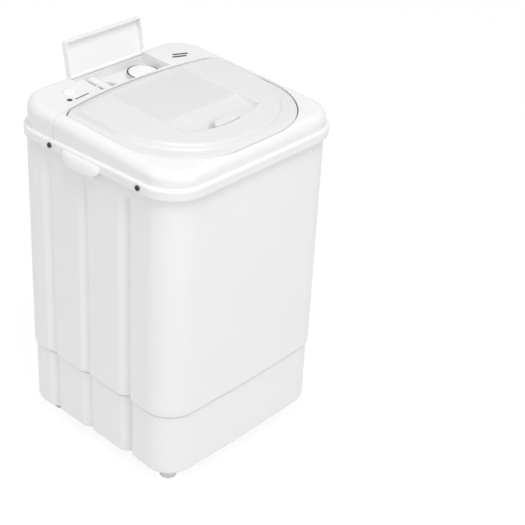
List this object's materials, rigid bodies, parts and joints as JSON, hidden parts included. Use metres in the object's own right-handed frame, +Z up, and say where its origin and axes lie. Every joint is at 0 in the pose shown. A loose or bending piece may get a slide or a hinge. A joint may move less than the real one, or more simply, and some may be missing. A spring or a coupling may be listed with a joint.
{
  "type": "top load washing machine",
  "caption": "Compact top load washing machine: ribbed cabinet on a footed base, sloping cover with hinged lid and control well flap, tub with wash disc, spin basket and belt drive.",
  "frame": {"origin": "centre of the bounding box on the floor under the feet", "axes": "+Z up, -Y towards the front, -X towards the left side seen from the front"},
  "size_m": [0.376, 0.346, 0.6125],
  "materials": {
    "cabinet_white": "satin gloss",
    "cover_white": "gloss",
    "lid_white": "gloss",
    "dial_white": "gloss",
    "dial_trim": "satin",
    "tub_white": "satin",
    "inner_plastic": "matte",
    "rubber_grey": "matte",
    "rubber_black": "matte",
    "screw_steel": "dark zinc",
    "bright_steel": "turned",
    "cast_alloy": "cast",
    "bush_bronze": "turned",
    "core_steel": "varnished"
  },
  "bodies": {
    "machine": {"cabinet_front": "cabinet_white", "cabinet_sides": "cabinet_white", "cabinet_back": "cabinet_white", "base_skirt": "cabinet_white", "bottom_plate": "inner_plastic", "feet": "rubber_grey", "foot_studs": "screw_steel", "foot_nuts": "screw_steel", "body_screws": "screw_steel", "flange_collar": "cover_white", "carry_handles": "cover_white", "cover_screws": "screw_steel", "top_frame": "cover_white", "tub_ring": "tub_white", "lid_buffers": "rubber_black", "control_housing": "cover_white", "inlet_strainer": "dial_trim", "inlet_chute": "inner_plastic", "timer_body": "inner_plastic", "timer_screws": "screw_steel", "dial_ring": "dial_trim", "button_switch": "inner_plastic", "flap_pins": "bright_steel", "wash_tub": "tub_white", "drain_grate": "dial_trim", "drain_pipe": "rubber_black", "drain_outlet": "inner_plastic", "drain_clamp": "bright_steel", "bearing_housing": "cast_alloy", "tub_gasket": "rubber_black", "housing_nut": "bright_steel", "shaft_bushes": "bush_bronze", "shaft_seal": "rubber_black", "drive_belt": "rubber_black", "drive_plate": "bright_steel", "plate_bolts": "screw_steel", "motor_stator": "core_steel", "motor_lower_cap": "cast_alloy", "motor_upper_cap": "cast_alloy", "capacitor": "inner_plastic", "capacitor_clip": "bright_steel", "wiring_harness": "rubber_black", "cord_gland": "rubber_black", "gland_nut": "rubber_black"},
    "lid": {"lid": "lid_white", "lid_pins": "bright_steel", "lid_grip": "lid_white"},
    "flap": {"flap": "lid_white"},
    "dial": {"timer_knob": "dial_white", "timer_shaft": "bright_steel"},
    "button": {"push_button": "dial_white"},
    "spinner": {"pulsator": "tub_white", "pulsator_screw": "bright_steel", "drive_shaft": "bright_steel", "spin_basket": "tub_white", "driven_pulley": "cast_alloy", "pulley_nut": "bright_steel"},
    "motor": {"motor_rotor": "core_steel", "motor_shaft": "bright_steel", "motor_pulley": "inner_plastic"}
  },
  "joints": [
    {"name": "lid_hinge", "type": "hinge", "parent": "machine", "child": "lid", "pos_m": [0, 0.06408, 0.54796], "axis": [-1, 0, 0], "range_deg": [0, 100]},
    {"name": "flap_hinge", "type": "hinge", "parent": "machine", "child": "flap", "pos_m": [0.0025, 0.15789, 0.55392], "axis": [1, 0, 0], "range_deg": [0, 104]},
    {"name": "dial_turn", "type": "hinge", "parent": "machine", "child": "dial", "pos_m": [0.049, 0.12249, 0.54248], "axis": [0, 0.057, -0.9984], "range_deg": [0, 300]},
    {"name": "button_press", "type": "slide", "parent": "machine", "child": "button", "axis": [0, 0.057, -0.9984], "range_m": [0, 0.0025], "stiffness_N_per_m": 400},
    {"name": "spinner_turn", "type": "hinge", "parent": "machine", "child": "spinner", "pos_m": [0, -0.032, 0.1], "axis": [0, 0, 1], "continuous": true},
    {"name": "motor_turn", "type": "hinge", "parent": "machine", "child": "motor", "pos_m": [0, 0.088, 0.1], "axis": [0, 0, 1], "continuous": true}
  ],
  "couplings": [
    {"joint": "motor_turn", "follows": "spinner_turn", "ratio": 3.8846}
  ]
}
